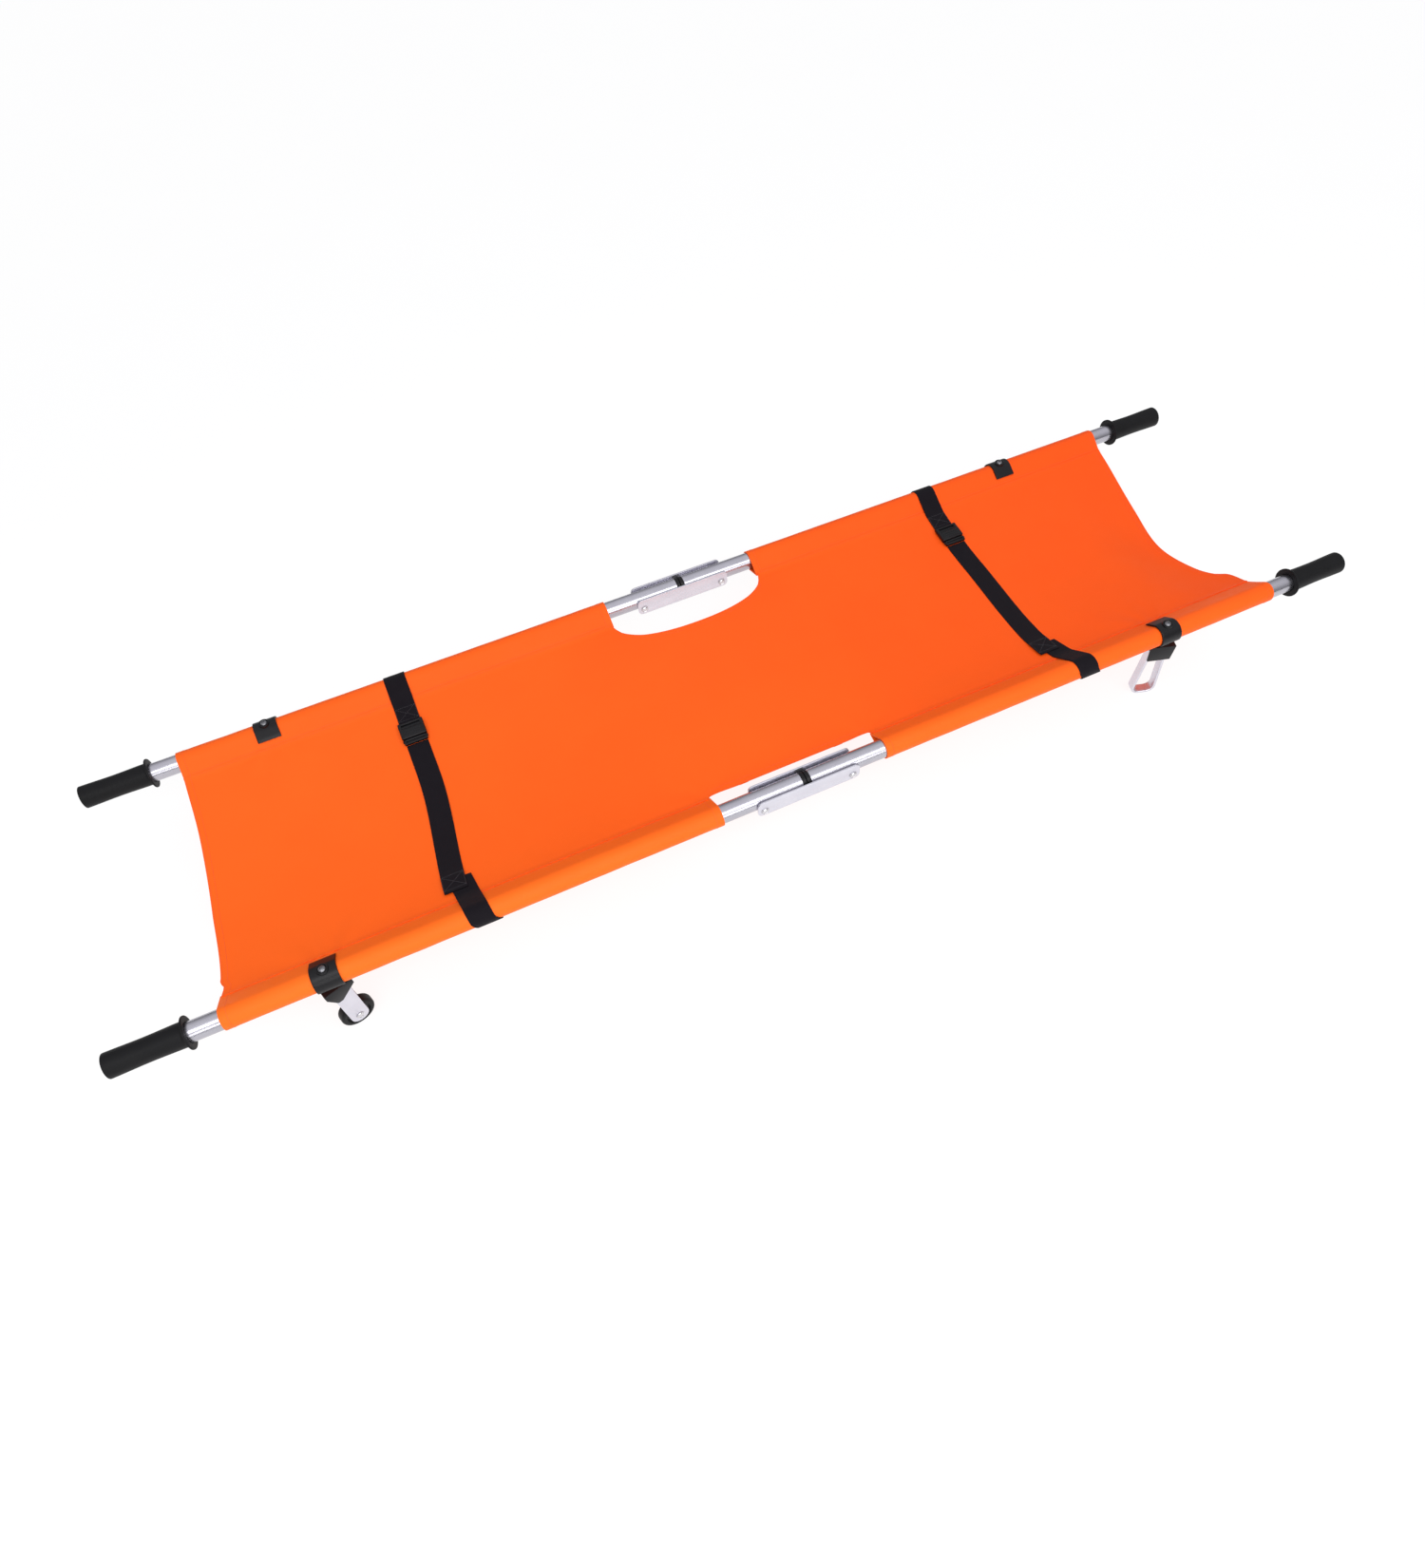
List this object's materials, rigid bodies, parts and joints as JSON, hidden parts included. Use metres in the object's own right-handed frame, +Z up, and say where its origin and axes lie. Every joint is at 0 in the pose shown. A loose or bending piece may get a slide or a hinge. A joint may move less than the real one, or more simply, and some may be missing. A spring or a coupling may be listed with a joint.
{
  "type": "folding stretcher",
  "caption": "Four-fold stretcher: orange sling cover on hinged aluminium poles, rubber hand grips, folding spreader bars with wheels or loop feet, buckled belts.",
  "frame": {"origin": "on the floor under the middle of the deck", "axes": "+X along the poles towards the loop-foot end, +Y towards the rear pole with the short belt loops, +Z up"},
  "size_m": [2.2, 0.568, 0.176],
  "materials": {
    "aluminium": "satin drawn aluminium tube and bar",
    "steel": "bright zinc-plated steel rivets and bolts",
    "black_plastic": "matt moulded black plastic",
    "grip_rubber": "matt black rubber",
    "wheel_rubber": "solid black rubber wheel",
    "cover_fabric": "bright orange coated woven cover",
    "belt_webbing": "black woven webbing"
  },
  "bodies": {
    "hinge_front": {"hinge_channel_front": "aluminium", "hinge_pin_left_front": "steel", "hinge_pin_right_front": "steel", "cover_sheet_middle": "cover_fabric"},
    "pole_front_left": {"pole_tube_left_front": "aluminium", "pole_plug_left_front": "black_plastic", "hand_grip_left_front": "grip_rubber", "cover_sleeve_left_front": "cover_fabric", "saddle_left_front": "black_plastic", "leg_bolt_left_front": "steel", "cover_sheet_left": "cover_fabric", "belt_strap_left": "belt_webbing"},
    "pole_front_right": {"pole_tube_right_front": "aluminium", "pole_plug_right_front": "black_plastic", "hand_grip_right_front": "grip_rubber", "cover_sleeve_right_front": "cover_fabric", "saddle_right_front": "black_plastic", "leg_bolt_right_front": "steel", "cover_sheet_right": "cover_fabric", "belt_strap_right": "belt_webbing"},
    "spreader_left_front": {"leg_bracket_left_front": "black_plastic", "spreader_link_left_front": "aluminium", "knee_pin_left": "steel", "wheel_leg_front": "aluminium", "wheel_axle_front": "steel"},
    "wheel_left_front": {"wheel_front": "wheel_rubber"},
    "spreader_left_rear": {"leg_bracket_left_rear": "black_plastic", "spreader_link_left_rear": "aluminium", "wheel_leg_rear": "aluminium", "wheel_axle_rear": "steel"},
    "wheel_left_rear": {"wheel_rear": "wheel_rubber"},
    "pole_rear_left": {"pole_tube_left_rear": "aluminium", "pole_plug_left_rear": "black_plastic", "hand_grip_left_rear": "grip_rubber", "cover_sleeve_left_rear": "cover_fabric", "saddle_left_rear": "black_plastic", "leg_bolt_left_rear": "steel", "belt_rear_loop_left": "belt_webbing", "buckle_socket_left": "black_plastic", "buckle_plug_left": "black_plastic"},
    "hinge_rear": {"hinge_channel_rear": "aluminium", "hinge_pin_left_rear": "steel", "hinge_pin_right_rear": "steel"},
    "pole_rear_right": {"pole_tube_right_rear": "aluminium", "pole_plug_right_rear": "black_plastic", "hand_grip_right_rear": "grip_rubber", "cover_sleeve_right_rear": "cover_fabric", "saddle_right_rear": "black_plastic", "leg_bolt_right_rear": "steel", "belt_rear_loop_right": "belt_webbing", "buckle_socket_right": "black_plastic", "buckle_plug_right": "black_plastic"},
    "spreader_right_front": {"leg_bracket_right_front": "black_plastic", "spreader_link_right_front": "aluminium", "knee_pin_right": "steel", "loop_leg_front": "aluminium"},
    "spreader_right_rear": {"leg_bracket_right_rear": "black_plastic", "spreader_link_right_rear": "aluminium", "loop_leg_rear": "aluminium"}
  },
  "joints": [
    {"name": "length_fold", "type": "hinge", "parent": "hinge_front", "child": "pole_front_left", "pos_m": [-0.08, -0.258, 0.141], "axis": [0, -1, 0], "range_deg": [0, 90]},
    {"name": "length_fold_front_right", "type": "hinge", "parent": "hinge_front", "child": "pole_front_right", "pos_m": [0.08, -0.258, 0.141], "axis": [0, 1, 0], "range_deg": [0, 90]},
    {"name": "width_fold", "type": "hinge", "parent": "pole_front_left", "child": "spreader_left_front", "pos_m": [-0.785, -0.258, 0.15], "axis": [0, 0, 1], "range_deg": [0, 67], "deforming": ["cover_sheet_left", "cover_sheet_middle", "cover_sheet_right", "belt_strap_left", "belt_strap_right"]},
    {"name": "knee_fold_left", "type": "hinge", "parent": "spreader_left_front", "child": "spreader_left_rear", "pos_m": [-0.785, 0, 0.1], "axis": [0, 0, 1], "range_deg": [-134, 0]},
    {"name": "bracket_turn_left_rear", "type": "hinge", "parent": "spreader_left_rear", "child": "pole_rear_left", "pos_m": [-0.785, 0.258, 0.15], "axis": [0, 0, 1], "range_deg": [0, 67]},
    {"name": "length_fold_rear_left", "type": "hinge", "parent": "pole_rear_left", "child": "hinge_rear", "pos_m": [-0.08, 0.258, 0.141], "axis": [0, -1, 0], "range_deg": [-90, 0]},
    {"name": "length_fold_rear_right", "type": "hinge", "parent": "hinge_rear", "child": "pole_rear_right", "pos_m": [0.08, 0.258, 0.141], "axis": [0, 1, 0], "range_deg": [0, 90]},
    {"name": "bracket_turn_right_front", "type": "hinge", "parent": "pole_front_right", "child": "spreader_right_front", "pos_m": [0.713, -0.258, 0.15], "axis": [0, 0, 1], "range_deg": [0, 67]},
    {"name": "knee_fold_right", "type": "hinge", "parent": "spreader_right_front", "child": "spreader_right_rear", "pos_m": [0.713, 0, 0.1], "axis": [0, 0, 1], "range_deg": [-134, 0]},
    {"name": "wheel_spin_front", "type": "hinge", "parent": "spreader_left_front", "child": "wheel_left_front", "pos_m": [-0.785, -0.258, 0.0275], "axis": [-0.309, 0.9511, 0], "continuous": true},
    {"name": "wheel_spin_rear", "type": "hinge", "parent": "spreader_left_rear", "child": "wheel_left_rear", "pos_m": [-0.785, 0.258, 0.0275], "axis": [0.309, 0.9511, 0], "continuous": true}
  ],
  "couplings": [
    {"joint": "length_fold_front_right", "follows": "length_fold", "ratio": 1},
    {"joint": "length_fold_rear_left", "follows": "length_fold", "ratio": -1},
    {"joint": "length_fold_rear_right", "follows": "length_fold", "ratio": 1},
    {"joint": "knee_fold_left", "follows": "width_fold", "ratio": -2},
    {"joint": "bracket_turn_left_rear", "follows": "width_fold", "ratio": 1},
    {"joint": "bracket_turn_right_front", "follows": "width_fold", "ratio": 1},
    {"joint": "knee_fold_right", "follows": "width_fold", "ratio": -2}
  ]
}
